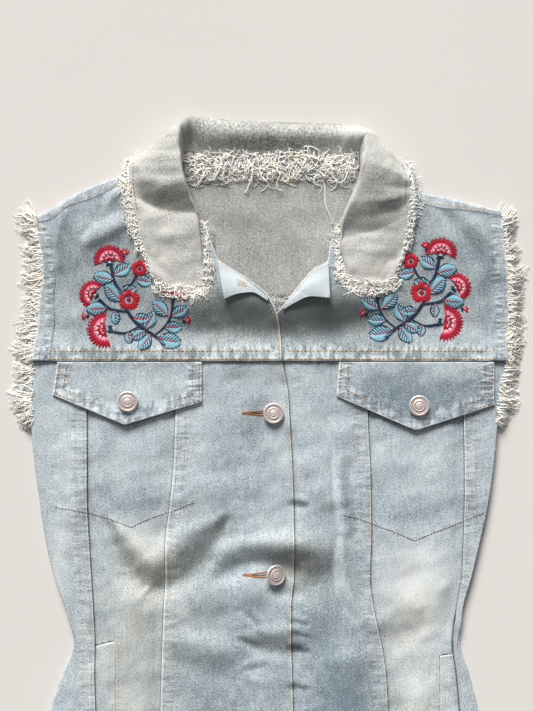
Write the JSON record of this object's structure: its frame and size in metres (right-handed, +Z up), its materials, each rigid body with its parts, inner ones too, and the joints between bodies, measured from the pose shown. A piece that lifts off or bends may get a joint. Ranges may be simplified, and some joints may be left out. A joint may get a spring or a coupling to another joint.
{
  "type": "denim vest",
  "caption": "Sleeveless denim vest with frayed armholes and collar, flap chest pockets and embroidered yokes, buttoned and laid flat with its front up.",
  "frame": {"origin": "on the surface that the vest lies on, under its middle, 9 mm above the front yoke seam", "axes": "+X to the right of the laid front as seen from above, +Y towards the collar, +Z up from the surface"},
  "size_m": [0.4403, 0.6392, 0.0255],
  "materials": {
    "denim_front": "light washed denim twill",
    "denim_back": "pale underside of washed denim",
    "collar_cloth": "fine pale grey denim",
    "frayed_cotton": "loose undyed cotton threads",
    "button_metal": "pale satin metal with raised rings"
  },
  "bodies": {
    "root": {"back_body": "denim_back", "back_yoke": "denim_back", "front_side_left": "denim_front", "front_side_right": "denim_front", "front_mid_left": "denim_front", "front_mid_right": "denim_front", "front_centre_left": "denim_front", "front_centre_right": "denim_front", "front_yoke_left": "denim_front", "front_yoke_right": "denim_front", "armhole_band_left": "denim_front", "armhole_band_right": "denim_front", "welt_left": "denim_front", "welt_right": "denim_front", "pocket_flap_left": "denim_front", "pocket_flap_right": "denim_front", "neck_facing_left": "denim_front", "neck_facing_right": "denim_front", "collar": "collar_cloth", "armhole_fringe_left": "frayed_cotton", "armhole_fringe_right": "frayed_cotton", "collar_fringe_left": "frayed_cotton", "collar_fringe_right": "frayed_cotton", "neck_fringe": "frayed_cotton", "button_flap_left": "button_metal", "button_flap_right": "button_metal", "button_front_1": "button_metal", "button_front_2": "button_metal", "button_front_3": "button_metal"}
  },
  "joints": []
}
